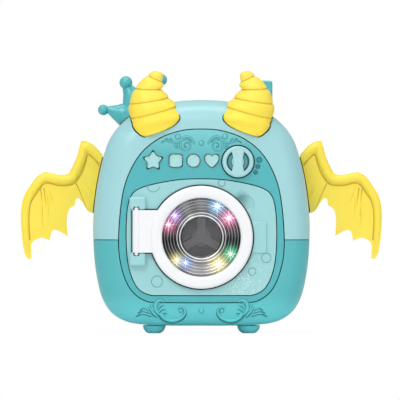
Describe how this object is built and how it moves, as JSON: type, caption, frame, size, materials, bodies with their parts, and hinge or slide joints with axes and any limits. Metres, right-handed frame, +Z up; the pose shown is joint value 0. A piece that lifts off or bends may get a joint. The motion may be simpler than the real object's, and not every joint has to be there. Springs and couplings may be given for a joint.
{
  "type": "toy washing machine",
  "caption": "Toy washing machine with a hinged round door, a geared turning drum, push buttons, a program knob, two horns, two wings and a crown.",
  "frame": {"origin": "on the floor, under the centre of the object's bounding box, which is the middle of the body", "axes": "+X to the right of a viewer who faces the front, +Y from the front to the back, +Z up"},
  "size_m": [0.3084, 0.112, 0.2235],
  "materials": {
    "light_teal": "satin moulded plastic",
    "dark_teal": "satin moulded plastic",
    "yellow": "soft satin moulded plastic",
    "white": "satin moulded plastic",
    "chrome": "thin mirror plating on plastic",
    "clear_smoke": "clear smoke-tinted plastic",
    "grey": "moulded plastic",
    "dark_grey": "moulded plastic",
    "steel": "plated steel",
    "brass": "turned brass",
    "board": "printed circuit board",
    "natural": "undyed moulded plastic",
    "black": "black moulded plastic",
    "cell": "printed sleeve",
    "foot_rubber": "soft matt rubber"
  },
  "bodies": {
    "cabinet": {"base_shell": "dark_teal", "battery_1": "cell", "battery_2": "cell", "battery_3": "cell", "battery_box": "dark_teal", "battery_door": "dark_teal", "battery_door_screw": "steel", "battery_wire": "black", "case_screw_1": "steel", "case_screw_2": "steel", "case_screw_3": "steel", "case_screw_4": "steel", "contacts_left": "steel", "contacts_right": "steel", "control_board": "board", "crown": "dark_teal", "door_surround": "light_teal", "drum_tub": "natural", "foot_1": "foot_rubber", "foot_2": "foot_rubber", "foot_3": "foot_rubber", "foot_4": "foot_rubber", "front_fascia": "dark_teal", "hinge_pin": "steel", "hood_shell": "light_teal", "horn_left": "yellow", "horn_right": "yellow", "led_ring": "natural", "motor": "steel", "motor_bracket": "natural", "motor_wire": "black", "power_switch": "black", "rear_box": "dark_teal", "rear_shell": "dark_teal", "rotary_switch": "black", "shaft_bush": "brass", "speaker": "black", "speaker_wire": "black", "switch_wire": "black", "tub_screw_1": "steel", "tub_screw_2": "steel", "tub_screw_3": "steel", "tub_screw_4": "steel", "wing_left": "yellow", "wing_right": "yellow"},
    "door": {"door_ring": "white", "chrome_bezel": "chrome", "door_lens": "clear_smoke"},
    "drum": {"drum": "dark_grey", "drum_pulsator": "grey", "drum_shaft": "steel", "drum_gear": "natural"},
    "rotor": {"motor_pinion": "brass"},
    "star_button": {"star_button": "light_teal"},
    "square_button": {"square_button": "light_teal"},
    "circle_button": {"circle_button": "light_teal"},
    "heart_button": {"heart_button": "light_teal"},
    "knob": {"program_knob": "light_teal"},
    "power_slider": {"power_slider": "black"}
  },
  "joints": [
    {"name": "door_hinge", "type": "hinge", "parent": "cabinet", "child": "door", "pos_m": [-0.0551, -0.0527, 0.0818], "axis": [0, 0, -1], "range_deg": [0, 110]},
    {"name": "drum_spin", "type": "hinge", "parent": "cabinet", "child": "drum", "pos_m": [0, 0.0045, 0.0818], "axis": [0, 1, 0], "continuous": true},
    {"name": "pinion_spin", "type": "hinge", "parent": "cabinet", "child": "rotor", "pos_m": [0, 0.0146, 0.1048], "axis": [0, 1, 0], "continuous": true},
    {"name": "star_button_press", "type": "slide", "parent": "cabinet", "child": "star_button", "axis": [0, 1, 0], "range_m": [0, 0.0012], "stiffness_N_per_m": 500},
    {"name": "square_button_press", "type": "slide", "parent": "cabinet", "child": "square_button", "axis": [0, 1, 0], "range_m": [0, 0.0012], "stiffness_N_per_m": 500},
    {"name": "circle_button_press", "type": "slide", "parent": "cabinet", "child": "circle_button", "axis": [0, 1, 0], "range_m": [0, 0.0012], "stiffness_N_per_m": 500},
    {"name": "heart_button_press", "type": "slide", "parent": "cabinet", "child": "heart_button", "axis": [0, 1, 0], "range_m": [0, 0.0012], "stiffness_N_per_m": 500},
    {"name": "knob_turn", "type": "hinge", "parent": "cabinet", "child": "knob", "pos_m": [0.031, -0.048, 0.1459], "axis": [0, 1, 0], "range_deg": [-60, 60]},
    {"name": "power_slide", "type": "slide", "parent": "cabinet", "child": "power_slider", "axis": [1, 0, 0], "range_m": [0, 0.003]}
  ],
  "couplings": [
    {"joint": "pinion_spin", "follows": "drum_spin", "ratio": -3.6}
  ]
}
